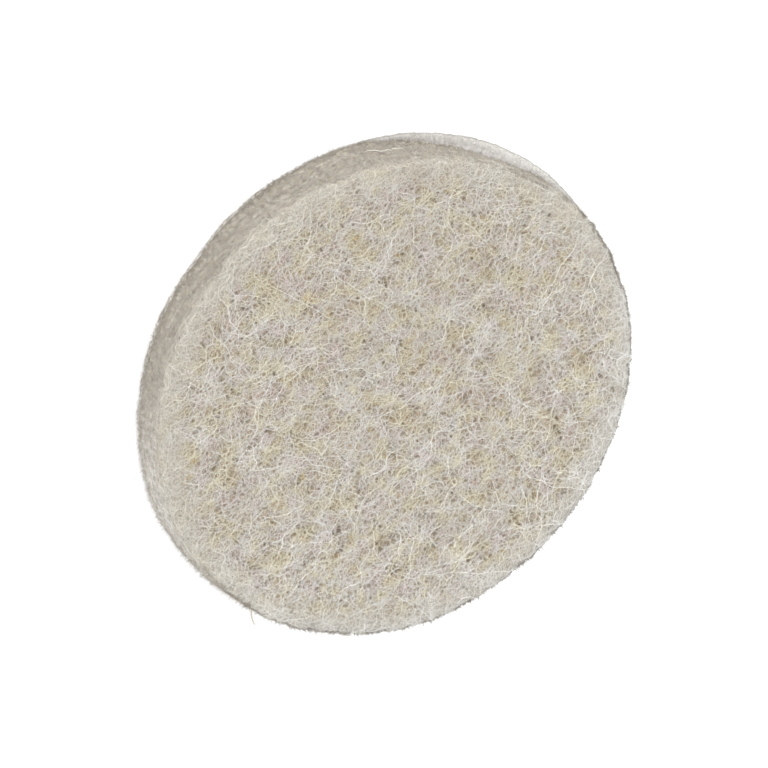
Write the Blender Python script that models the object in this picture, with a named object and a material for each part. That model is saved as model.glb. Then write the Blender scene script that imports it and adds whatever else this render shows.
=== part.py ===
"""Felt polishing disc with a hook-and-loop backing, 100 mm across its working face.

The disc lies on its backing with the working face up.  The origin is on the felt's axis, on the
underside of the backing.  Lengths are in metres.
"""

import math

import bmesh
import bpy
from mathutils import Matrix

# Felt: a die-cut round of pressed wool.  Its wall leans out a little from the working face to the back.
FACE_DIAMETER = 0.1000
WALL_FLARE = 0.0008
FELT_THICKNESS = 0.0071
FELT_EDGE_RADIUS = 0.0012

# Adhesive: a film of hot-melt glue that stops short of the felt's edge.
FILM_THICKNESS = 0.0004
FILM_INSET = 0.0006

# Backing: loop cloth, cut slightly smaller than the felt's back and glued on a little off centre,
# towards an angle measured round the disc from +X, where its edge shows past the felt.
BACKING_THICKNESS = 0.0012
BACKING_INSET = 0.0003
BACKING_OFFSET = 0.0005
BACKING_OFFSET_ANGLE = math.radians(221.0)
BACKING_EDGE_RADIUS = 0.0003

# Pieces that touch on the real disc keep this gap.
CONTACT_GAP = 0.0003

SEGMENTS = 96
EDGE_SEGMENTS = 4
SHARP_ANGLE = 0.6

BASE_DIAMETER = FACE_DIAMETER + 2 * WALL_FLARE

# The stack, from the surface that the disc lies on upwards.
BACKING_BOTTOM = 0.0
FILM_BOTTOM = BACKING_BOTTOM + BACKING_THICKNESS + CONTACT_GAP
FELT_BOTTOM = FILM_BOTTOM + FILM_THICKNESS + CONTACT_GAP


def clear_scene():
    for item in list(bpy.data.objects):
        bpy.data.objects.remove(item, do_unlink=True)


def make_material(name, colour, roughness):
    material = bpy.data.materials.new(name)
    material.use_nodes = True
    shader = material.node_tree.nodes["Principled BSDF"]
    shader.inputs["Base Color"].default_value = (*colour, 1.0)
    shader.inputs["Roughness"].default_value = roughness
    shader.inputs["Metallic"].default_value = 0.0
    return material


def rim_edges(shape, height):
    """The edges of the round outline at a height."""
    at_height = [v for v in shape.verts if abs(v.co.z - height) < 1e-6]
    rim = set(at_height)
    return [e for e in shape.edges if e.verts[0] in rim and e.verts[1] in rim]


def round_over(shape, height, radius):
    bmesh.ops.bevel(
        shape,
        geom=rim_edges(shape, height),
        offset=radius,
        offset_type="OFFSET",
        segments=EDGE_SEGMENTS,
        profile=0.5,
        affect="EDGES",
    )


def make_disc(name, base_diameter, face_diameter, thickness, rounded, material):
    """A round plate that stands on z = 0.  rounded is a list of (height, radius) for its rims."""
    shape = bmesh.new()
    bmesh.ops.create_cone(
        shape,
        cap_ends=True,
        segments=SEGMENTS,
        radius1=base_diameter / 2,
        radius2=face_diameter / 2,
        depth=thickness,
        matrix=Matrix.Translation((0.0, 0.0, thickness / 2)),
    )
    for height, radius in rounded:
        round_over(shape, height, radius)
    mesh = bpy.data.meshes.new(name)
    shape.to_mesh(mesh)
    shape.free()
    mesh.shade_smooth()
    mesh.set_sharp_from_angle(angle=SHARP_ANGLE)
    mesh.materials.append(material)
    piece = bpy.data.objects.new(name, mesh)
    bpy.context.scene.collection.objects.link(piece)
    return piece


def make_felt_disc():
    wool = make_material("pressed_wool_felt", (0.55, 0.51, 0.44), 0.95)
    rounded = [(FELT_THICKNESS, FELT_EDGE_RADIUS)]
    return make_disc("felt_disc", BASE_DIAMETER, FACE_DIAMETER, FELT_THICKNESS, rounded, wool)


def make_adhesive_film():
    glue = make_material("hot_melt_adhesive", (0.78, 0.74, 0.62), 0.35)
    diameter = BASE_DIAMETER - 2 * FILM_INSET
    return make_disc("adhesive_film", diameter, diameter, FILM_THICKNESS, [], glue)


def make_loop_backing():
    cloth = make_material("loop_cloth", (0.74, 0.72, 0.67), 0.9)
    diameter = BASE_DIAMETER - 2 * BACKING_INSET
    rounded = [(BACKING_THICKNESS, BACKING_EDGE_RADIUS), (0.0, BACKING_EDGE_RADIUS)]
    return make_disc("loop_backing", diameter, diameter, BACKING_THICKNESS, rounded, cloth)


def place(piece, parent, z, offset=0.0, angle=0.0):
    piece.parent = parent
    piece.location = (offset * math.cos(angle), offset * math.sin(angle), z)


def build():
    clear_scene()
    disc_axis = bpy.data.objects.new("disc_axis", None)
    bpy.context.scene.collection.objects.link(disc_axis)
    place(make_loop_backing(), disc_axis, BACKING_BOTTOM, BACKING_OFFSET, BACKING_OFFSET_ANGLE)
    place(make_adhesive_film(), disc_axis, FILM_BOTTOM)
    place(make_felt_disc(), disc_axis, FELT_BOTTOM)


build()
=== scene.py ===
"""Looks of the felt polishing disc: a mat of wool fibres, its cut wall, glue and loop cloth."""

import math

import bpy
import numpy as np
from mathutils import Matrix, Vector


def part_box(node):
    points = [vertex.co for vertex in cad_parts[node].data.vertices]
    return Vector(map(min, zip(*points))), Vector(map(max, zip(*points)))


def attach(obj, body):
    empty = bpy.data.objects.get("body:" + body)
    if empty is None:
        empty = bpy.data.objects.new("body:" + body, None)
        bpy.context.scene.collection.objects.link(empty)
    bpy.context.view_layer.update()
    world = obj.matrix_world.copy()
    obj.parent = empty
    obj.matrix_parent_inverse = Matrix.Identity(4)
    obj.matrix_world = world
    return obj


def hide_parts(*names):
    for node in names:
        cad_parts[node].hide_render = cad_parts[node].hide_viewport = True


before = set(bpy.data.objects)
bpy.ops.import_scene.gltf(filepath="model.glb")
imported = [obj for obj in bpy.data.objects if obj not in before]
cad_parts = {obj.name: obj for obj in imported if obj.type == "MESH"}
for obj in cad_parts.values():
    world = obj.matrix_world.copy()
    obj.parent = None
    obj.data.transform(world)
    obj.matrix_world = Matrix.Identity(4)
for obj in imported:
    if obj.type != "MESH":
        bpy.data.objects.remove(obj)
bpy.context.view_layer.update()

MM = 0.001
PI = math.pi

# ---------------------------------------------------------------- places taken from the frame
felt_low, felt_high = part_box("felt_disc")
film_low, film_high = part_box("adhesive_film")
cloth_low, cloth_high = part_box("loop_backing")

FACE_Z = felt_high[2]
FELT_BACK_Z = felt_low[2]
BASE_RADIUS = (felt_high[0] - felt_low[0]) / 2
WALL_FLARE = 0.8 * MM
FACE_RADIUS = BASE_RADIUS - WALL_FLARE
EDGE_RADIUS = 1.2 * MM
CORE_BACK_Z = film_high[2] + 0.05 * MM
CLOTH_RADIUS = (cloth_high[0] - cloth_low[0]) / 2
CLOTH_TOP_Z = film_low[2] - 0.05 * MM
CLOTH_OFFSET, CLOTH_OFFSET_AT = 0.5 * MM, 221.0

FLAT_RADIUS = FACE_RADIUS - EDGE_RADIUS
EDGE_ARC = EDGE_RADIUS * PI / 2
WALL_START = FLAT_RADIUS + EDGE_ARC
WALL_HEIGHT = FACE_Z - EDGE_RADIUS - FELT_BACK_Z
PROFILE_END = WALL_START + WALL_HEIGHT

# The felt is open further than OPEN_WITHIN from the face's edge, and closed nearer than CLOSED_BEYOND.
OPEN_WITHIN, CLOSED_BEYOND = 8.0 * MM, 1.0 * MM
# How far the face's skin follows the clouds, and how deep the skin and the strands sink in a pit.
CLOUD_RISE = 0.08 * MM
SKIN_PIT_DEPTH, STRAND_PIT_DEPTH = 0.65 * MM, 0.50 * MM
# How far the core lies under the strands: on the face, more where the felt is open, and on the wall.
CORE_SINK, OPEN_CORE_SINK, WALL_CORE_SINK = 0.16 * MM, 0.12 * MM, 0.20 * MM
# The underside of the cloth's ground, above the tips of its loops.
GROUND_Z = cloth_low[2] + 0.50 * MM

# The colour map that the strands carry: its v is their tone and its u their hue.
BAKE_MAP = "OFBake"
PINK_HUE, WHITEST_HUE, MIDDLE_HUE, FACE_HUE, YELLOW_HUE = 0.16, 0.36, 0.5, 0.54, 0.84
WALL_HUES = (0.2, 0.8)

# Stretches of the rim, in degrees: where the cloth and its cut edge show past the felt, and where
# short dark tufts and longer specks stand on the face's rim.
CLOTH_SHOWS, CUT_SHOWS = (172, 240), (174, 244)
TUFTED, SPECKED = (-3, 206), (-8, 178)

random = np.random.default_rng(4)


# ---------------------------------------------------------------- smooth random fields
class Field:
    """A smooth random field over the disc, with mean 0 and deviation 1, read at any x and y."""

    CELLS = 1024
    SPAN = 2 * (FACE_RADIUS + 14 * MM)

    def __init__(self, wavelength, sharpness, seed):
        noise = np.random.default_rng(seed).standard_normal((self.CELLS, self.CELLS))
        steps = np.fft.fftfreq(self.CELLS, self.SPAN / self.CELLS)
        frequency = np.hypot(*np.meshgrid(steps, steps))
        band = np.exp(-sharpness * np.log(np.maximum(frequency, 1e-9) * wavelength) ** 2)
        values = np.fft.ifft2(np.fft.fft2(noise) * band).real
        self.values = (values - values.mean()) / values.std()

    def at(self, x, y):
        return read_grid(self.values, x, y)

    def slope(self, x, y):
        """The field's rise per metre along x and along y."""
        cell = self.SPAN / self.CELLS
        along_y, along_x = np.gradient(self.values, cell)
        return read_grid(along_x, x, y), read_grid(along_y, x, y)


def read_grid(grid, x, y):
    """A field's grid read between its cells.  It repeats past its edges."""
    cells = Field.CELLS
    u = (x / Field.SPAN + 0.5) * cells
    v = (y / Field.SPAN + 0.5) * cells
    column, row = np.floor(u).astype(int), np.floor(v).astype(int)
    a, b = u - column, v - row
    left, right = column % cells, (column + 1) % cells
    low, high = row % cells, (row + 1) % cells
    below = grid[low, left] * (1 - a) + grid[low, right] * a
    above = grid[high, left] * (1 - a) + grid[high, right] * a
    return below * (1 - b) + above * b


def smoothstep(low, high, values):
    """0 at low and 1 at high, with a soft start and end.  low may be the higher one."""
    t = np.clip((values - low) / (high - low), 0, 1)
    return t * t * (3 - 2 * t)


# Each field's wavelength, how strictly it keeps to it, and its seed.
pits = Field(1.3 * MM, 1.3, 11)
clouds = Field(9.0 * MM, 1.0, 12)
hue_patches = Field(11.0 * MM, 1.0, 14)
hue_spots = Field(2.6 * MM, 1.5, 16)
stains = Field(3.4 * MM, 2.0, 17)
wall_waves = Field(1.7 * MM, 1.2, 15)
wall_tones = Field(3.6 * MM, 1.0, 19)
cut_marks = Field(1.5 * MM, 1.2, 24)


def ripple(around, seed, waves):
    """A wavy line by the angle round the disc.  waves is a list of (count round the disc, height)."""
    phases = np.random.default_rng(seed)
    found = np.zeros_like(around)
    for count, height in waves:
        found = found + height * np.sin(count * around + phases.uniform(0, 2 * PI))
    return found


def bump(around, centre, spread, height):
    """A rise of this height round the disc at centre, or a dip below 0.  centre and spread are in degrees."""
    away = np.angle(np.exp(1j * (around - math.radians(centre))))
    return height * np.exp(-((away / math.radians(spread)) ** 2))


def felt_wobble(around, down):
    """How far the felt's cut wall strays from its nominal outline.  down is 0 at the face, 1 at the back."""
    at_face = bump(around, 228, 30, -1.6 * MM) + bump(around, 192, 9, -0.6 * MM)
    at_back = bump(around, 202, 24, -2.3 * MM) + bump(around, 266, 30, 0.5 * MM)
    at_back = at_back + bump(around, 241, 10, 0.35 * MM)
    dents = bump(around, 354, 16, -0.5 * MM) + bump(around, 52, 14, 0.45 * MM)
    dents = dents + bump(around, 236, 12, 0.35 * MM) + bump(around, 277, 7, -0.45 * MM)
    waves = [(5, 0.06), (9, 0.06), (17, 0.05), (31, 0.05), (53, 0.05), (97, 0.03)]
    return at_face * (1 - down) + at_back * down + dents + MM * ripple(around, 18, waves)


def cloth_edge(around):
    """The cloth's radius: cut a little smaller than the felt and glued on off centre."""
    dents = bump(around, 354, 16, -0.5 * MM) + bump(around, 52, 14, 0.3 * MM)
    dents = dents + bump(around, 172, 14, -0.15 * MM) + bump(around, 282, 34, -1.1 * MM)
    dents = dents - bump(around, 218, 26, 0.14 * MM)
    offset = CLOTH_OFFSET * np.cos(around - math.radians(CLOTH_OFFSET_AT))
    waves = [(6, 0.05), (19, 0.04), (47, 0.04), (120, 0.04), (210, 0.03)]
    return CLOTH_RADIUS + offset + dents + MM * ripple(around, 20, waves)


def upright(run, around, z):
    """Points at a distance from the axis, an angle and a height."""
    return np.stack([run * np.cos(around), run * np.sin(around), z + 0 * run], axis=-1)


# ---------------------------------------------------------------- the felt's outline
def on_felt(x, y, height):
    """Points on the felt's skin.  x and y are a flat map whose distance from the centre runs over
    the face, round the edge and down the wall; height is how far a point stands off the skin."""
    run = np.hypot(x, y)
    around = np.arctan2(y, x)
    turn = np.clip((run - FLAT_RADIUS) / EDGE_RADIUS, 0, PI / 2)
    down = np.maximum(run - WALL_START, 0)
    out = np.minimum(run, FLAT_RADIUS) + EDGE_RADIUS * np.sin(turn)
    out = out + WALL_FLARE * np.minimum(down / WALL_HEIGHT, 1)
    # A wide margin of the face follows the wall's wobble, and the cut leaves small marks.
    margin, cut_depth = 12 * MM, 0.09 * MM
    near_edge = smoothstep(FLAT_RADIUS - margin, FLAT_RADIUS + 0.5 * MM, run)
    out = out + felt_wobble(around, np.minimum(down / WALL_HEIGHT, 1)) * near_edge
    out = out + cut_depth * cut_marks.at(x, y) * smoothstep(0, 1 * MM, down)
    lip = ripple(around, 21, [(23, 0.10 * MM), (41, 0.12 * MM), (67, 0.10 * MM), (103, 0.08 * MM)])
    z = FACE_Z - EDGE_RADIUS * (1 - np.cos(turn)) - down
    z = z + lip * smoothstep(FLAT_RADIUS - 2 * MM, WALL_START, run) * (1 - smoothstep(0, 3 * MM, down))
    out = out + height * np.sin(turn)
    z = z + height * np.cos(turn)
    return upright(out, around, z)


def open_share(x, y):
    """1 over most of the face and 0 towards its edge, where the felt is closed and smooth."""
    return 1 - smoothstep(FACE_RADIUS - OPEN_WITHIN, FACE_RADIUS - CLOSED_BEYOND, np.hypot(x, y))


def painted_backlight_share(x, y):
    """1 at the face's rim on the +Y side, fading inwards: painted light from behind, laid on as paler, whiter
    wool.
    """
    width, fade = 1.5 * MM, 6 * MM
    inwards = np.maximum(FACE_RADIUS - width - np.hypot(x, y), 0)
    side = smoothstep(-0.35, 0.45, np.sin(np.arctan2(y, x)))
    return side * np.exp(-inwards / fade)


def past_lip(x, y):
    """0 on the face and 1 on the wall, turning over at the lip."""
    return smoothstep(WALL_START - 1.6 * MM, WALL_START + 0.8 * MM, np.hypot(x, y))


def crispness(x, y):
    """The mat is combed more loosely on one side, so that its hairs and pits stand out more there."""
    combed, change = math.radians(72), 0.6
    return 1 + change * (x * math.cos(combed) + y * math.sin(combed)) / FACE_RADIUS


def pit_share(x, y):
    """0 on the mat and 1 in the middle of a pit.  The pits gather where the mat is thin."""
    deep = smoothstep(0.82, 1.5, pits.at(x, y) - 0.35 * clouds.at(x, y))
    return deep * (0.2 + 0.8 * open_share(x, y))


def skin_height(x, y):
    """How far the felt's skin stands off its nominal outline."""
    return CLOUD_RISE * clouds.at(x, y) - SKIN_PIT_DEPTH * pit_share(x, y)


# ---------------------------------------------------------------- meshes
def new_mesh(name, points, loops, starts, smooth=True):
    """A mesh from its points, its faces' corners one after another, and where each face starts."""
    mesh = bpy.data.meshes.new(name)
    mesh.vertices.add(len(points))
    mesh.vertices.foreach_set("co", points.astype(np.float32).ravel())
    mesh.loops.add(len(loops))
    mesh.loops.foreach_set("vertex_index", loops.astype(np.int32))
    mesh.polygons.add(len(starts))
    mesh.polygons.foreach_set("loop_start", starts.astype(np.int32))
    mesh.update(calc_edges=True)
    if smooth:
        mesh.shade_smooth()
    return mesh


def new_piece(name, mesh, material):
    """A visible piece that rides on the disc, the only body."""
    piece = bpy.data.objects.new(name, mesh)
    bpy.context.scene.collection.objects.link(piece)
    mesh.materials.append(material)
    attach(piece, "root")
    return piece


def round_grid(half):
    """A square grid drawn onto a disc with cells of nearly the same size.  Gives each point's reach,
    from -1 to 1, and its angle, then the cells' corners and the points round the rim."""
    size = 2 * half + 1
    t = np.arange(-half, half + 1) / half
    a, b = np.meshgrid(t, t)
    wide = np.abs(a) >= np.abs(b)
    reach = np.where(wide, a, b)
    with np.errstate(divide="ignore", invalid="ignore"):
        angle = np.where(wide, (PI / 4) * b / a, PI / 2 - (PI / 4) * a / b)
    angle = np.where(reach == 0, 0, angle)
    number = np.arange(size * size).reshape(size, size)
    cells = np.stack([number[:-1, :-1], number[:-1, 1:], number[1:, 1:], number[1:, :-1]], axis=-1)
    rim = np.concatenate([number[0, :-1], number[:-1, -1], number[-1, :0:-1], number[:0:-1, 0]])
    return reach, angle, cells, rim


def unit(vectors):
    return vectors / np.maximum(np.linalg.norm(vectors, axis=-1, keepdims=True), 1e-12)


def tube_mesh(name, paths, radii, tone, hue, sides=3):
    """One closed tube along each path.  paths is strands x points x 3.  tone and hue go into the
    colour map, as its v and u."""
    strands, count = paths.shape[:2]
    tangent = unit(np.gradient(paths, axis=1))
    chord = unit(paths[:, -1] - paths[:, 0])
    least = np.argmin(np.abs(chord), axis=1)
    reference = np.eye(3)[least][:, None, :]
    side = unit(np.cross(tangent, reference))
    over = np.cross(side, tangent)
    angle = 2 * PI * np.arange(sides) / sides
    ring = (
        np.cos(angle)[:, None] * side[:, :, None, :] + np.sin(angle)[:, None] * over[:, :, None, :]
    )
    points = paths[:, :, None, :] + radii[:, :, None, None] * ring
    index = np.arange(strands * count * sides).reshape(strands, count, sides)
    after = np.roll(index, -1, axis=2)
    quads = np.stack([index[:, :-1], index[:, 1:], after[:, 1:], after[:, :-1]], axis=-1)
    ends = np.concatenate([index[:, 0], index[:, -1, ::-1]])
    loops = np.concatenate([quads.ravel(), ends.ravel()])
    quad_starts = 4 * np.arange(quads.size // 4)
    end_starts = quads.size + sides * np.arange(len(ends))
    starts = np.concatenate([quad_starts, end_starts])
    mesh = new_mesh(name, points.reshape(-1, 3), loops, starts)
    u = hue[:, :, None] + 0.012 * np.arange(sides) / sides
    v = tone[:, :, None] + np.zeros(sides)
    uv = np.stack([u, v], axis=-1).reshape(-1, 2).clip(0.01, 0.99)
    mesh.uv_layers.new(name=BAKE_MAP).uv.foreach_set("vector", uv[loops].astype(np.float32).ravel())
    return mesh


def wander(strands, count, length, curl, crimp, crimp_length):
    """Curly plane paths about 0: strands x points, as x and y.  length is per strand, curl bends a
    strand one way all along, and crimp is how far it swings to and fro."""
    along = np.linspace(-0.5, 0.5, count)[None, :] * length[:, None]
    heading = random.uniform(0, 2 * PI, (strands, 1))
    bend = random.normal(0, curl, (strands, 1)) * along
    slow = random.normal(0, 0.45, (strands, 1)) * np.sin(
        along * 2 * PI / (2.2 * crimp_length) + random.uniform(0, 2 * PI, (strands, 1))
    )
    quick = random.normal(0, crimp, (strands, 1)) * np.sin(
        along * 2 * PI / (crimp_length * random.uniform(0.6, 1.3, (strands, 1)))
        + random.uniform(0, 2 * PI, (strands, 1))
    )
    angle = heading + bend + slow + quick
    step = (length / (count - 1))[:, None]
    x = np.cumsum(np.cos(angle) * step, axis=1)
    y = np.cumsum(np.sin(angle) * step, axis=1)
    return x - x.mean(axis=1, keepdims=True), y - y.mean(axis=1, keepdims=True)


def taper(count):
    """A strand's thickness along itself: full, with finer ends."""
    return 1 - 0.75 * near_ends(count, 6)


def near_ends(count, power=4):
    """0 along most of a strand and 1 at its two ends."""
    return np.abs(np.linspace(-1, 1, count)) ** power


# ---------------------------------------------------------------- materials
def new_material(name):
    material = bpy.data.materials.new(name)
    material.use_nodes = True
    nodes, links = material.node_tree.nodes, material.node_tree.links
    return material, nodes, links, nodes["Principled BSDF"]


def colour_ramp(nodes, stops):
    """A ramp through stops, a list of (place, colour)."""
    ramp = nodes.new("ShaderNodeValToRGB")
    elements = ramp.color_ramp.elements
    while len(elements) < len(stops):
        elements.new(0.5)
    for element, (place, colour) in zip(elements, stops):
        element.position = place
        element.color = (*colour, 1.0)
    return ramp


# Ramps from dark to light, and one from pink by white to yellow.
FACE_TONES = [
    (0.0, (0.14, 0.105, 0.07)),
    (0.3, (0.35, 0.302, 0.247)),
    (0.6, (0.58, 0.55, 0.504)),
    (0.94, (0.762, 0.754, 0.737)),
    (1.0, (0.93, 0.93, 0.92)),
]
# The cut wall's tones are darker than the face's: partly the cut felt's own tone, partly painted shade of the
# wall.
WALL_TONES = [
    (0.0, (0.15, 0.132, 0.114)),
    (0.4, (0.35, 0.313, 0.272)),
    (0.8, (0.53, 0.50, 0.465)),
    (1.0, (0.84, 0.82, 0.795)),
]
YARN_TONES = [
    (0.0, (0.34, 0.32, 0.30)),
    (0.5, (0.62, 0.60, 0.58)),
    (1.0, (0.88, 0.87, 0.86)),
]
HUES = [
    (0.0, (1.0, 0.80, 0.68)),
    (PINK_HUE, (1.0, 0.94, 0.95)),
    (WHITEST_HUE, (0.985, 0.994, 0.992)),
    (0.6, (1.0, 0.985, 0.92)),
    (YELLOW_HUE, (1.0, 0.975, 0.80)),
    (1.0, (1.0, 0.85, 0.50)),
]


def wool_material(name, tones):
    """Strands, coloured by the two ramps of tone and hue."""
    material, nodes, links, shader = new_material(name)
    place = nodes.new("ShaderNodeUVMap")
    place.uv_map = BAKE_MAP
    split = nodes.new("ShaderNodeSeparateXYZ")
    links.new(place.outputs["UV"], split.inputs[0])
    tone = colour_ramp(nodes, tones)
    hue = colour_ramp(nodes, HUES)
    links.new(split.outputs["Y"], tone.inputs["Fac"])
    links.new(split.outputs["X"], hue.inputs["Fac"])
    tint = nodes.new("ShaderNodeMix")
    tint.data_type = "RGBA"
    tint.blend_type = "MULTIPLY"
    tint.inputs[0].default_value = 1.0
    links.new(tone.outputs["Color"], tint.inputs[6])
    links.new(hue.outputs["Color"], tint.inputs[7])
    links.new(tint.outputs[2], shader.inputs["Base Color"])
    shader.inputs["Roughness"].default_value = 0.8
    shader.inputs["Sheen Weight"].default_value = 0.1
    shader.inputs["Sheen Roughness"].default_value = 0.4
    return material


def noise(nodes, links, scale):
    """A fine grain in the piece's own space."""
    place = nodes.new("ShaderNodeTexCoord")
    texture = nodes.new("ShaderNodeTexNoise")
    texture.inputs["Scale"].default_value = scale
    texture.inputs["Detail"].default_value = 4.0
    links.new(place.outputs["Object"], texture.inputs["Vector"])
    return texture


def core_material():
    """The matted wool under the strands: brown under the open face, partly the wool's warm tone and partly
    painted shade in the pits, and paler towards its closed edge.
    """
    material, nodes, links, shader = new_material("matted_wool")
    fine = noise(nodes, links, 900.0)
    pit = colour_ramp(
        nodes,
        [(0.3, (0.21, 0.145, 0.09)), (0.5, (0.34, 0.265, 0.185)), (0.7, (0.45, 0.385, 0.295))],
    )
    rim = colour_ramp(nodes, [(0.3, (0.30, 0.275, 0.235)), (0.7, (0.40, 0.37, 0.325))])
    links.new(fine.outputs["Fac"], pit.inputs["Fac"])
    links.new(fine.outputs["Fac"], rim.inputs["Fac"])
    place = nodes.new("ShaderNodeTexCoord")
    flat = nodes.new("ShaderNodeVectorMath")
    flat.operation = "MULTIPLY"
    flat.inputs[1].default_value = (1, 1, 0)
    links.new(place.outputs["Object"], flat.inputs[0])
    radius = nodes.new("ShaderNodeVectorMath")
    radius.operation = "LENGTH"
    links.new(flat.outputs["Vector"], radius.inputs[0])
    share = nodes.new("ShaderNodeMapRange")
    share.inputs["From Min"].default_value = FACE_RADIUS - OPEN_WITHIN
    share.inputs["From Max"].default_value = FACE_RADIUS - CLOSED_BEYOND
    links.new(radius.outputs["Value"], share.inputs["Value"])
    mix = nodes.new("ShaderNodeMix")
    mix.data_type = "RGBA"
    links.new(share.outputs["Result"], mix.inputs[0])
    links.new(pit.outputs["Color"], mix.inputs[6])
    links.new(rim.outputs["Color"], mix.inputs[7])
    links.new(mix.outputs[2], shader.inputs["Base Color"])
    grain = nodes.new("ShaderNodeBump")
    grain.inputs["Strength"].default_value = 0.6
    grain.inputs["Distance"].default_value = 0.1 * MM
    links.new(fine.outputs["Fac"], grain.inputs["Height"])
    links.new(grain.outputs["Normal"], shader.inputs["Normal"])
    shader.inputs["Roughness"].default_value = 0.95
    return material


def plain_material(name, low, high, scale, roughness):
    """A material that varies between two colours in a fine grain."""
    material, nodes, links, shader = new_material(name)
    grain = noise(nodes, links, scale)
    colour = colour_ramp(nodes, [(0.35, low), (0.65, high)])
    links.new(grain.outputs["Fac"], colour.inputs["Fac"])
    links.new(colour.outputs["Color"], shader.inputs["Base Color"])
    shader.inputs["Roughness"].default_value = roughness
    return material


wool = wool_material("wool_strands", FACE_TONES)
wall_wool = wool_material("cut_wool_strands", WALL_TONES)
yarn = wool_material("nylon_yarn", YARN_TONES)
matted = core_material()
glue = plain_material(
    "hot_melt_glue", low=(0.62, 0.56, 0.45), high=(0.80, 0.76, 0.68), scale=400.0, roughness=0.4
)
nylon = plain_material(
    "nylon_loop_cloth", low=(0.42, 0.40, 0.385), high=(0.54, 0.52, 0.502), scale=1500.0, roughness=0.85
)


# ---------------------------------------------------------------- felt core
def felt_core():
    """The dense body of the felt, with its pits, as one closed skin."""
    reach, angle, cells, rim = round_grid(110)
    x = WALL_START * reach * np.cos(angle)
    y = WALL_START * reach * np.sin(angle)
    face = on_felt(x, y, skin_height(x, y) - CORE_SINK - OPEN_CORE_SINK * open_share(x, y))
    around = np.arctan2(y.ravel()[rim], x.ravel()[rim])
    rings = 20
    runs = WALL_START + WALL_HEIGHT * np.arange(1, rings + 1) / rings
    wx = runs[:, None] * np.cos(around)
    wy = runs[:, None] * np.sin(around)
    wall = on_felt(wx, wy, np.full_like(wx, -WALL_CORE_SINK))
    wall[-1, :, 2] = CORE_BACK_Z
    centre = np.array([[0, 0, CORE_BACK_Z]])
    points = np.concatenate([face.reshape(-1, 3), wall.reshape(-1, 3), centre])
    rows = np.vstack([rim, reach.size + np.arange(rings * len(rim)).reshape(rings, -1)])
    along = np.roll(rows, -1, axis=1)
    skirt = np.stack([rows[:-1], rows[1:], along[1:], along[:-1]], axis=-1)
    quads = np.concatenate([cells.ravel(), skirt.ravel()])
    last = np.full(len(rim), len(points) - 1)
    fan = np.stack([rows[-1], last, along[-1]], axis=-1).ravel()
    loops = np.concatenate([quads, fan])
    starts = np.concatenate([4 * np.arange(quads.size // 4), quads.size + 3 * np.arange(len(rim))])
    return new_mesh("felt_core", points, loops, starts)


core = new_piece("felt_core", felt_core(), matted)
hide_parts("felt_disc")


# ---------------------------------------------------------------- strands on the face
def stain_share(x, y):
    """0 over most of the face and 1 in the middle of a stain."""
    return smoothstep(2.0, 2.7, np.abs(stains.at(x, y)))


def wool_hue(x, y, strands, tint):
    """A strand's hue: patches and spots of pink and yellow, browner in pits as painted shade, whiter at the
    +Y rim as painted light from behind, and a few stains.
    """
    tint = tint * (0.25 + 0.75 * open_share(x, y))
    patches, spots, in_pits = 0.22, 0.10, 0.15
    hue = patches * hue_patches.at(x, y) + spots * hue_spots.at(x, y) + in_pits * pit_share(x, y)
    hue = tint * hue
    hue = (FACE_HUE + hue + random.normal(0, 0.02, (strands, 1))).clip(PINK_HUE, YELLOW_HUE)
    # Painted light from behind turns the +Y rim whiter.
    hue = hue + (WHITEST_HUE - hue) * 0.8 * painted_backlight_share(x, y) ** 3
    return hue + tint * stain_share(x, y) * np.sign(stains.at(x, y)) * 0.4


def pick(tries, strands, weight):
    """Some of the tries, each as likely as its weight says."""
    return random.choice(tries, strands, replace=False, p=weight / weight.sum())


def scatter(strands, gather):
    """Places over the face.  The more gather is above 0, the more of them lie in the clouds."""
    tries = 8 * strands
    out = (FACE_RADIUS + 0.6 * MM) * np.sqrt(random.uniform(0, 1, tries))
    around = random.uniform(0, 2 * PI, tries)
    x, y = out * np.cos(around), out * np.sin(around)
    chosen = pick(tries, strands, np.exp(gather * clouds.at(x, y)))
    return x[chosen, None], y[chosen, None]


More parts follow.
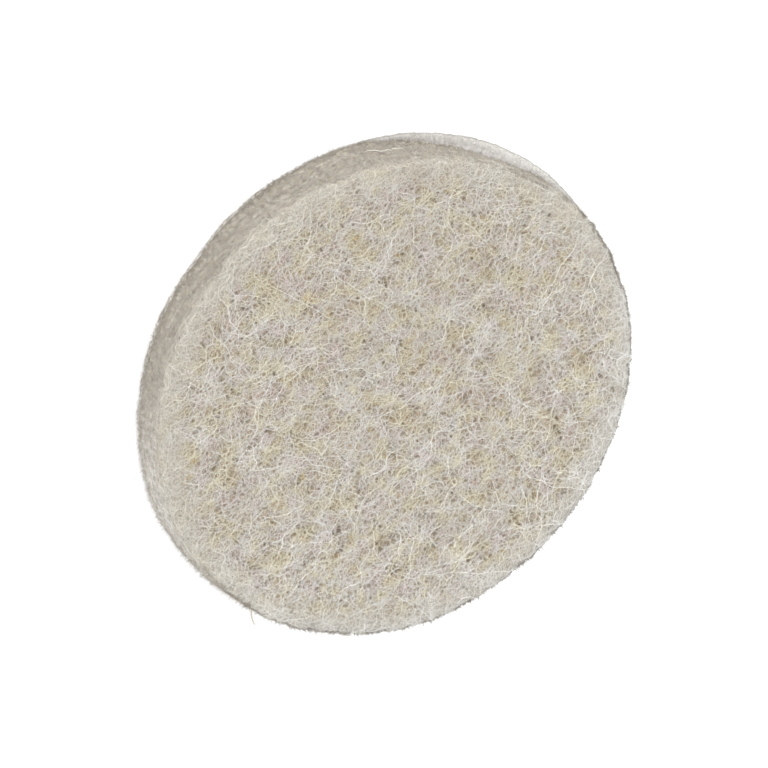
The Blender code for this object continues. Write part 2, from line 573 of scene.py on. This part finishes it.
def face_strands(
    strands, count, lengths, radius, lift, tone, gather=0.0, curl=80.0, crimp=0.25, tint=1.0
):
    """Strands that lie over the face and turn over its edge.  lengths, radius, lift and tone are
    (low, high).  gather draws them together, and tint is how much of the hues they take on."""
    length = random.uniform(*lengths, strands)
    x, y = wander(strands, count, length, curl, crimp, crimp_length=3.0 * MM)
    centre_x, centre_y = scatter(strands, gather)
    x, y = x + centre_x, y + centre_y
    # Strands that would leave the disc are pressed back round its edge, and turn in again a little.
    turned_in = 0.25
    run = np.hypot(x, y)
    around = np.arctan2(y, x)
    limit = WALL_START + random.uniform(-1.2 * MM, 0.9 * MM, (strands, 1))
    limit = limit + ripple(around, 22, [(29, 0.15 * MM), (53, 0.15 * MM), (91, 0.15 * MM)])
    pressed = np.where(run > limit, limit - turned_in * (run - limit), run) / np.maximum(run, 1e-9)
    x, y = x * pressed, y * pressed
    # They are pushed down the slope of the pit field, so that they run round the pits.
    push = 1.5e-8
    slope_x, slope_y = pits.slope(x, y)
    x, y = x - push * slope_x, y - push * slope_y
    depth = random.uniform(0, 1, (strands, 1))
    turns = length[:, None] / random.uniform(2.5 * MM, 5 * MM, (strands, 1))
    wave = np.sin(2 * PI * (np.linspace(0, 1, count) * turns + random.uniform(0, 1, (strands, 1))))
    ends = near_ends(count)
    pit = pit_share(x, y)
    wave_rise, end_dip = 0.05 * MM, 0.2 * MM
    height = lift[0] + (lift[1] - lift[0]) * depth + wave_rise * wave - end_dip * ends
    height = height + CLOUD_RISE * clouds.at(x, y) - STRAND_PIT_DEPTH * pit
    paths = on_felt(x, y, height)
    radii = random.uniform(*radius, (strands, 1)) * taper(count)
    # Deeper strands are darker: painted shade under the strands above them.
    mixed = 0.6 * depth + 0.4 * random.uniform(0, 1, (strands, 1)) - 0.5
    crisp = crispness(x, y)
    # Strands in pits are darker as painted shade, and strands past the lip as painted shade of the wall.
    # Ends, stains and the closed edge are darker, and the +Y rim is lighter as painted light from behind.
    shade = (tone[0] + tone[1]) / 2 + (tone[1] - tone[0]) * mixed * crisp
    shade = shade - 1.4 * pit * crisp - 0.05 * ends - 0.15 * tint * stain_share(x, y)
    shade = shade + 0.11 * painted_backlight_share(x, y) - 0.05 * (1 - open_share(x, y))
    shade = shade - 0.18 * past_lip(x, y) + 0.03 * (crisp - 1) - 0.02
    shade = np.minimum(shade, max(tone[1], 0.93))
    return paths, radii, shade, wool_hue(x, y, strands, tint)


DEEP_PIECES, FACE_PIECES, BRIGHT_PIECES, WALL_PIECES, LOOP_PIECES = 3, 7, 2, 4, 2
# The deep mat takes dark tones: painted shade under the upper layers.
for part in range(DEEP_PIECES):
    name = f"deep_mat_{part + 1:02d}"
    made = face_strands(
        strands=2300,
        count=15,
        lengths=(5 * MM, 10 * MM),
        radius=(0.026 * MM, 0.042 * MM),
        lift=(-0.30 * MM, -0.08 * MM),
        tone=(0.22, 0.55),
    )
    new_piece(name, tube_mesh(name, *made), wool)
for part in range(FACE_PIECES):
    name = f"face_mat_{part + 1:02d}"
    made = face_strands(
        strands=2600,
        count=13,
        lengths=(4 * MM, 10 * MM),
        radius=(0.018 * MM, 0.032 * MM),
        lift=(-0.08 * MM, 0.10 * MM),
        tone=(0.555, 0.905),
        gather=0.2,
    )
    new_piece(name, tube_mesh(name, *made), wool)

for part in range(BRIGHT_PIECES):
    name = f"bright_strands_{part + 1:02d}"
    made = face_strands(
        strands=1500,
        count=18,
        lengths=(5 * MM, 13 * MM),
        radius=(0.016 * MM, 0.036 * MM),
        lift=(0.06 * MM, 0.15 * MM),
        tone=(0.80, 0.95),
        gather=0.6,
        curl=90.0,
        crimp=0.15,
        tint=0.5,
    )
    new_piece(name, tube_mesh(name, *made), wool)
made = face_strands(
    strands=260,
    count=36,
    lengths=(10 * MM, 24 * MM),
    radius=(0.028 * MM, 0.045 * MM),
    lift=(0.12 * MM, 0.20 * MM),
    tone=(0.96, 1.02),
    gather=0.6,
    curl=70.0,
    crimp=0.06,
    tint=0.3,
)
new_piece("long_strands", tube_mesh("long_strands", *made), wool)


def lip_strands(strands, count):
    """Tufts of pale wool pulled over the lip by the cutter."""
    tries = 8 * strands
    run = random.uniform(FLAT_RADIUS - 2.6 * MM, WALL_START + 0.6 * MM, tries)
    around = random.uniform(0, 2 * PI, tries)
    chosen = pick(tries, strands, np.exp(1.6 * hue_spots.at(run * np.cos(around), run * np.sin(around))))
    run, around = run[chosen, None], around[chosen, None]
    length = random.uniform(1.0 * MM, 3.2 * MM, strands)
    x, y = wander(strands, count, length, curl=120.0, crimp=0.3, crimp_length=2.0 * MM)
    x, y = x + run * np.cos(around), y + run * np.sin(around)
    ends = near_ends(count)
    paths = on_felt(x, y, random.uniform(0.02 * MM, 0.14 * MM, (strands, 1)) - 0.12 * MM * ends)
    radii = random.uniform(0.014 * MM, 0.028 * MM, (strands, 1)) * taper(count)
    # Past the lip they turn darker: painted shade of the wall.
    shade = random.uniform(0.70, 0.90, (strands, 1)) - 0.1 * ends - 0.2 * past_lip(x, y)
    return paths, radii, shade, wool_hue(x, y, strands, tint=0.3)


made = lip_strands(strands=2200, count=9)
new_piece("lip_strands", tube_mesh("lip_strands", *made), wool)


# ---------------------------------------------------------------- strands on the wall
def wall_strands(strands, count, lengths, radius, lift, tone, squash=(0.3, 1.0)):
    """Strands on the cut wall.  The lower squash is, the more level they lie round the disc."""
    length = random.uniform(*lengths, strands)
    x, y = wander(strands, count, length, curl=60.0, crimp=0.4, crimp_length=2.5 * MM)
    around = random.uniform(0, 2 * PI, (strands, 1)) + x / FACE_RADIUS
    reach = WALL_HEIGHT + 1.0 * MM + bump(around, 215, 34, -1.0 * MM)
    down = random.uniform(-0.05, 1, (strands, 1)) * reach + y * random.uniform(*squash, (strands, 1))
    down = np.clip(down, -0.6 * MM, reach)
    run = WALL_START + down
    ends = near_ends(count)
    height = random.uniform(*lift, (strands, 1)) - 0.10 * MM * ends
    mx, my = run * np.cos(around), run * np.sin(around)
    paths = on_felt(mx, my, height)
    radii = random.uniform(*radius, (strands, 1)) * taper(count)
    shade = random.uniform(*tone, (strands, 1))
    shade = shade + 0.07 * wall_tones.at(mx, my) + 0.06 * wall_waves.at(mx, my)
    # It is darker towards the back as painted shade by the cloth, paler under the lip, and palest on the
    # stretch round 336 degrees as a painted highlight where the wall turns to the light.
    low_down, high_up = smoothstep(0.5, 1.0, down / reach), smoothstep(0.25, 0.0, down / reach)
    shade = shade - 0.11 * low_down + 0.05 * high_up
    shade = shade + bump(around, 336, 26, 0.42) + bump(around, 210, 18, 0.07) - bump(around, 262, 34, 0.02)
    hue = MIDDLE_HUE + 0.10 * hue_spots.at(mx, my) + 0.08 * wall_tones.at(mx, my) + 0.08 * down / reach
    # The pale stretch round 330 degrees is also cooler in hue: part of the same painted highlight.
    hue = hue - bump(around, 330, 30, 0.16) + random.normal(0, 0.03, (strands, 1))
    return paths, radii, shade, np.clip(hue, *WALL_HUES)


for part in range(WALL_PIECES):
    name = f"wall_strands_{part + 1:02d}"
    made = wall_strands(
        strands=4400,
        count=8,
        lengths=(1.2 * MM, 3.6 * MM),
        radius=(0.016 * MM, 0.032 * MM),
        lift=(-0.10 * MM, 0.05 * MM),
        tone=(0.38, 0.66),
    )
    new_piece(name, tube_mesh(name, *made), wall_wool)
made = wall_strands(
    strands=60,
    count=16,
    lengths=(4 * MM, 9 * MM),
    radius=(0.022 * MM, 0.04 * MM),
    lift=(0.05 * MM, 0.10 * MM),
    tone=(0.75, 0.92),
    squash=(0.05, 0.3),
)
new_piece("wall_hairs", tube_mesh("wall_hairs", *made), wall_wool)


# ---------------------------------------------------------------- fuzz
def fuzz(hairs, count, lengths, radius, tone, runs, turns=(0, 360), lean=0.9):
    """Hairs that stand out of the skin and bend over.  runs is the stretch of the flat map that they
    grow from, turns is the stretch of the rim, in degrees, and lean is how much they splay."""
    run = np.sqrt(random.uniform(runs[0] ** 2, runs[1] ** 2, (hairs, 1)))
    around = np.radians(random.uniform(*turns, (hairs, 1)))
    x, y = run * np.cos(around), run * np.sin(around)
    below, above = -0.15 * MM, 0.85 * MM
    root = on_felt(x, y, np.full_like(x, below))
    outwards = unit(on_felt(x, y, np.full_like(x, above)) - root)
    direction = unit(outwards + lean * unit(random.normal(0, 1, (hairs, 1, 3))))
    bend = unit(random.normal(0, 1, (hairs, 1, 3)))
    length = random.uniform(*lengths, (hairs, 1, 1))
    t = np.linspace(0, 1, count)[None, :, None]
    paths = root + length * (direction * t + 0.5 * bend * t**2)
    radii = random.uniform(*radius, (hairs, 1)) * (1 - 0.6 * t[:, :, 0])
    # Painted light: paler on the wall's stretch that turns to the light, and over the cloth's free margin,
    # where it softens the shade in the groove.
    painted_light = bump(around, 334, 28, 0.46) + bump(around, 212, 20, 0.34)
    shade = random.uniform(*tone, (hairs, 1)) + painted_light + np.zeros(count)
    hue = MIDDLE_HUE + random.normal(0, 0.06, (hairs, 1)) + np.zeros(count)
    return paths, radii, shade, np.clip(hue, *WALL_HUES)


whole_edge = (FLAT_RADIUS - 1 * MM, PROFILE_END)
face_rim = (WALL_START - 1.1 * MM, WALL_START - 0.3 * MM)
back_rim = (PROFILE_END - 0.8 * MM, PROFILE_END + 0.6 * MM)
made = fuzz(
    hairs=6000,
    count=6,
    lengths=(0.25 * MM, 1.0 * MM),
    radius=(0.014 * MM, 0.026 * MM),
    tone=(0.40, 0.80),
    runs=whole_edge,
)
new_piece("edge_fuzz", tube_mesh("edge_fuzz", *made), wall_wool)
# Dark tufts round the foot: partly dark fibres, partly a painted shadow line in the crevice over the cloth.
made = fuzz(
    hairs=2600,
    count=5,
    lengths=(0.4 * MM, 0.9 * MM),
    radius=(0.03 * MM, 0.055 * MM),
    tone=(0.0, 0.34),
    runs=back_rim,
)
new_piece("back_rim_tufts", tube_mesh("back_rim_tufts", *made), wall_wool)
# Dark tufts on the face's rim: partly dark fibres, partly a painted shadow line under the lip and in the gap
# over the cloth.
made = fuzz(
    hairs=5600,
    count=5,
    lengths=(0.25 * MM, 0.55 * MM),
    radius=(0.035 * MM, 0.065 * MM),
    tone=(0.0, 0.32),
    runs=face_rim,
    turns=TUFTED,
    lean=1.0,
)
new_piece("face_rim_tufts", tube_mesh("face_rim_tufts", *made), wall_wool)
made = fuzz(
    hairs=1100,
    count=5,
    lengths=(0.5 * MM, 1.1 * MM),
    radius=(0.05 * MM, 0.09 * MM),
    tone=(0.0, 0.35),
    runs=face_rim,
    turns=SPECKED,
    lean=1.0,
)
new_piece("rim_specks", tube_mesh("rim_specks", *made), wall_wool)
made = fuzz(
    hairs=220,
    count=10,
    lengths=(0.9 * MM, 2.4 * MM),
    radius=(0.018 * MM, 0.03 * MM),
    tone=(0.15, 0.6),
    runs=whole_edge,
)
new_piece("edge_hairs", tube_mesh("edge_hairs", *made), wall_wool)


def loose_fibres():
    """One fibre that has come out of the face's rim, and one that lies along the wall."""
    count = 24
    t = np.linspace(0, 1, count)
    out_at, out_run = math.radians(10), FLAT_RADIUS + 1.2 * MM
    root_x, root_y = np.array([out_run * math.cos(out_at)]), np.array([out_run * math.sin(out_at)])
    root = on_felt(root_x, root_y, np.zeros(1))
    # The loose fibre runs out straight and curls aside near its end.
    away = np.array([0.73, 0.55, 0.39]) * 3.3 * MM
    aside = np.array([-0.68, 0.60, 0.42]) * 0.8 * MM
    loose = root + t[:, None] * away + t[:, None] ** 3 * aside
    around = np.radians(234.5 - 9 * t)
    run = WALL_START + WALL_HEIGHT * (0.60 - 0.05 * np.sin(PI * t) + 0.02 * np.sin(11 * t))
    laid = on_felt(run * np.cos(around), run * np.sin(around), np.full(count, 0.10 * MM))
    radii = np.array([[0.15 * MM], [0.055 * MM]]) * taper(count)
    shade = np.array([[0.4], [0.97]]) + np.zeros(count)
    return np.stack([loose, laid]), radii, shade, np.full((2, count), MIDDLE_HUE)


new_piece("loose_fibres", tube_mesh("loose_fibres", *loose_fibres(), sides=6), wall_wool)


# ---------------------------------------------------------------- glue and cloth
def glue_film():
    """The film of glue: flat, with an uneven edge that stays under the felt."""
    steps = 360
    inset = 0.7 * MM
    around = 2 * PI * np.arange(steps) / steps
    run = BASE_RADIUS + felt_wobble(around, 1.0) - inset
    run = run + MM * ripple(around, 23, [(13, 0.1), (37, 0.1), (71, 0.08)])
    bottom_centre = np.array([[0, 0, film_low[2]]])
    top_centre = np.array([[0, 0, film_high[2]]])
    bottom_rim, top_rim = upright(run, around, film_low[2]), upright(run, around, film_high[2])
    points = np.concatenate([bottom_centre, bottom_rim, top_rim, top_centre])
    low = 1 + np.arange(steps)
    high = low + steps
    top = np.full(steps, len(points) - 1)
    under = np.stack([np.zeros(steps, int), np.roll(low, -1), low], axis=-1)
    over = np.stack([top, high, np.roll(high, -1)], axis=-1)
    side = np.stack([low, np.roll(low, -1), np.roll(high, -1), high], axis=-1)
    loops = np.concatenate([under.ravel(), over.ravel(), side.ravel()])
    corners = under.size + over.size
    starts = np.concatenate([3 * np.arange(2 * steps), corners + 4 * np.arange(steps)])
    return new_mesh("glue_film", points, loops, starts, smooth=False)


film = new_piece("glue_film", glue_film(), glue)
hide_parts("adhesive_film")


def margin_bend(run, around):
    """How far the cloth rises.  It is below 0 at the free margin, which bends down towards its edge."""
    free = bump(around, 207, 30, 1.0)
    drop = 0.4 * MM
    return -drop * free * smoothstep(BASE_RADIUS - 2.2 * MM, BASE_RADIUS + 0.3 * MM, run)


def cloth_disc():
    """The loop cloth's ground: a thin plate with knit ribs and a softly uneven cut edge."""
    reach, angle, cells, rim = round_grid(108)
    around = np.arctan2(np.sin(angle) * reach, np.cos(angle) * reach)
    radius = cloth_edge(around)
    x, y = radius * reach * np.cos(angle), radius * reach * np.sin(angle)
    rib_height, rib_pitch, stitch_pitch = 0.05 * MM, 1.1 * MM, 0.8 * MM
    rib = rib_height * np.sin(2 * PI * x / rib_pitch) * np.sin(2 * PI * y / stitch_pitch)
    # The cut edge is rolled a little, and the margin is pressed thinner than the middle.
    rolled, pressed = 0.10 * MM, 0.35 * MM
    roll = rolled * np.exp(-(1 - np.abs(reach)) / 0.004)
    lift = margin_bend(np.hypot(x, y), around)
    thin = pressed * smoothstep(CLOTH_RADIUS - 2.5 * MM, CLOTH_RADIUS - 0.5 * MM, np.hypot(x, y))
    low = np.stack([x, y, GROUND_Z + rib + roll + lift + thin], axis=-1)
    high = np.stack([x, y, CLOTH_TOP_Z + 0.1 * rib + lift - 0.3 * roll], axis=-1)
    under = cells[..., ::-1]
    over = cells + reach.size
    after = np.roll(rim, -1)
    band = np.stack([rim, after, after + reach.size, rim + reach.size], axis=-1)
    loops = np.concatenate([under.ravel(), over.ravel(), band.ravel()])
    points = np.concatenate([low.reshape(-1, 3), high.reshape(-1, 3)])
    return new_mesh("backing_cloth", points, loops, 4 * np.arange(len(loops) // 4))


def cloth_loops(loops, count, radius):
    """Fine arches of yarn that hang from the cloth's underside."""
    out = (CLOTH_RADIUS - 1.2 * MM) * np.sqrt(random.uniform(0, 1, (loops, 1)))
    around = random.uniform(0, 2 * PI, (loops, 1))
    heading = random.uniform(0, 2 * PI, (loops, 1))
    span = random.uniform(0.35 * MM, 0.75 * MM, (loops, 1))
    deep = random.uniform(0.25 * MM, 0.46 * MM, (loops, 1))
    sideways = 0.2 * MM
    t = np.linspace(0, PI, count)[None, :]
    along, across = span * np.cos(t), sideways * np.sin(t)
    x = out * np.cos(around) + along * np.cos(heading) + across * np.sin(heading)
    y = out * np.sin(around) + along * np.sin(heading) - across * np.cos(heading)
    z = GROUND_Z - deep * np.sin(t)
    paths = np.stack([x, y, z], axis=-1)
    radii = radius + np.zeros((loops, count))
    # The loops are darker where they meet the ground: painted shade.
    shade = random.uniform(0.6, 1.0, (loops, 1)) - 0.15 * np.cos(t) ** 2
    hue = MIDDLE_HUE + random.normal(0, 0.02, (loops, 1)) + np.zeros(count)
    return paths, radii, shade, hue


cloth = new_piece("backing_cloth", cloth_disc(), nylon)
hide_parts("loop_backing")
for part in range(LOOP_PIECES):
    name = f"backing_loops_{part + 1:02d}"
    made = cloth_loops(loops=5200, count=7, radius=0.022 * MM)
    new_piece(name, tube_mesh(name, *made), yarn)


def edge_yarn(ends, count):
    """Loose yarn ends of the cloth's cut edge, where it shows past the felt."""
    around = np.radians(random.uniform(*CLOTH_SHOWS, (ends, 1)))
    edge = cloth_edge(around)
    start = edge - random.uniform(0.1 * MM, 1.6 * MM, (ends, 1))
    length = random.uniform(0.3 * MM, 1.3 * MM, (ends, 1))
    turn = random.normal(0, 0.7, (ends, 1)) + np.where(random.uniform(0, 1, (ends, 1)) < 0.4, PI / 2, 0)
    t = np.linspace(0, 1, count)[None, :]
    bend = random.normal(0, 0.5, (ends, 1)) * t
    # The ends reach this far past the cut and curl as far down over it.
    past_edge = 0.12 * MM
    run = np.minimum(start + length * t * np.cos(turn + bend), edge + past_edge)
    angle = around + length * t * np.sin(turn + bend) / CLOTH_RADIUS
    z = CLOTH_TOP_Z + margin_bend(run, angle) + random.uniform(-0.05 * MM, 0.12 * MM, (ends, 1))
    z = z - past_edge * smoothstep(-0.2 * MM, 0.1 * MM, run - edge)
    paths = upright(run, angle, z)
    radii = random.uniform(0.02 * MM, 0.045 * MM, (ends, 1)) * taper(count)
    # Darker near the felt as painted shade, paler towards the margin as painted light, lighter round 192
    # degrees, and dark at the cut.
    shade = random.uniform(0.05, 0.40, (ends, 1))
    shade = shade + 0.26 * smoothstep(-1.4 * MM, -0.3 * MM, run - edge)
    shade = shade + bump(around, 192, 15, 0.45) - 0.7 * smoothstep(-0.05 * MM, 0.08 * MM, run - edge)
    hue = MIDDLE_HUE + random.normal(-0.05, 0.03, (ends, 1)) + 0 * t
    return paths, radii, shade, hue


made = edge_yarn(ends=2600, count=6)
new_piece("edge_yarn", tube_mesh("edge_yarn", *made), yarn)


def cut_edge(ends, count):
    """Short grey yarns that lie along the cloth's cut edge."""
    t = np.linspace(-0.5, 0.5, count)[None, :]
    length = random.uniform(0.5 * MM, 2.0 * MM, (ends, 1))
    around = np.radians(random.uniform(*CUT_SHOWS, (ends, 1))) + length * t / CLOTH_RADIUS
    run = cloth_edge(around) + random.uniform(-0.06 * MM, 0.08 * MM, (ends, 1))
    z = CLOTH_TOP_Z + margin_bend(run, around) - random.uniform(0, 0.45 * MM, (ends, 1))
    paths = upright(run, around, z)
    radii = random.uniform(0.03 * MM, 0.06 * MM, (ends, 1)) * taper(count)
    shade = random.uniform(0.0, 0.25, (ends, 1)) + np.zeros(count)
    pinker_hue = 0.42
    return paths, radii, shade, np.full((ends, count), pinker_hue)


made = cut_edge(ends=700, count=8)
new_piece("cut_edge", tube_mesh("cut_edge", *made), yarn)


# ---------------------------------------------------------------- stage, light and camera
def floor():
    """A plain pale square, just under the disc."""
    half = 1.5
    points = half * np.array([(-1, -1, 0), (1, -1, 0), (1, 1, 0), (-1, 1, 0)])
    mesh = new_mesh("floor", points, np.arange(4), np.array([0]), smooth=False)
    piece = bpy.data.objects.new("floor", mesh)
    piece.location = (0, 0, -0.1 * MM)
    bpy.context.scene.collection.objects.link(piece)
    material, _, _, shader = new_material("pale_floor")
    shader.inputs["Base Color"].default_value = (0.93, 0.93, 0.93, 1)
    shader.inputs["Roughness"].default_value = 0.9
    mesh.materials.append(material)


def soft_light(name, direction, distance, size, power):
    """A round lamp that shines at the origin from this direction."""
    data = bpy.data.lights.new(name, "AREA")
    data.shape = "DISK"
    data.size = size
    data.energy = power
    lamp = bpy.data.objects.new(name, data)
    place = Vector(direction).normalized() * distance
    lamp.location = place
    lamp.rotation_euler = place.to_track_quat("Z", "Y").to_euler()
    bpy.context.scene.collection.objects.link(lamp)


def sky(strength):
    """Even white light from all round."""
    world = bpy.data.worlds.new("studio")
    bpy.context.scene.world = world
    world.use_nodes = True
    world.node_tree.nodes["Background"].inputs["Color"].default_value = (1, 1, 1, 1)
    world.node_tree.nodes["Background"].inputs["Strength"].default_value = strength


def camera():
    """Looks at the face from well off the disc's axis, turned so that the disc leans."""
    tilt, roll = math.radians(35.4), math.radians(42.9)
    back = Vector((0, -math.sin(tilt), math.cos(tilt)))
    right = Vector((-math.sin(roll), math.cos(tilt) * math.cos(roll), math.sin(tilt) * math.cos(roll)))
    up = back.cross(right)
    diameter = 2 * FACE_RADIUS
    # The middle of the view, off the middle of the face.
    target = Vector((0, 0, FACE_Z)) - 0.0293 * diameter * right + 0.0272 * diameter * up
    data = bpy.data.cameras.new("camera")
    data.sensor_width = 36
    data.lens = 245.9
    eye = bpy.data.objects.new("camera", data)
    turn = Matrix((right, up, back)).transposed().to_4x4()
    distance = 10 * diameter
    eye.matrix_world = Matrix.Translation(target + back * distance) @ turn
    bpy.context.scene.collection.objects.link(eye)
    bpy.context.scene.camera = eye


floor()
sky(strength=1.45)
soft_light("key", direction=(-0.25, -0.60, 0.76), distance=1.2, size=0.8, power=9.0)
camera()
scene = bpy.context.scene
scene.view_settings.view_transform = "Standard"
scene.view_settings.look = "None"
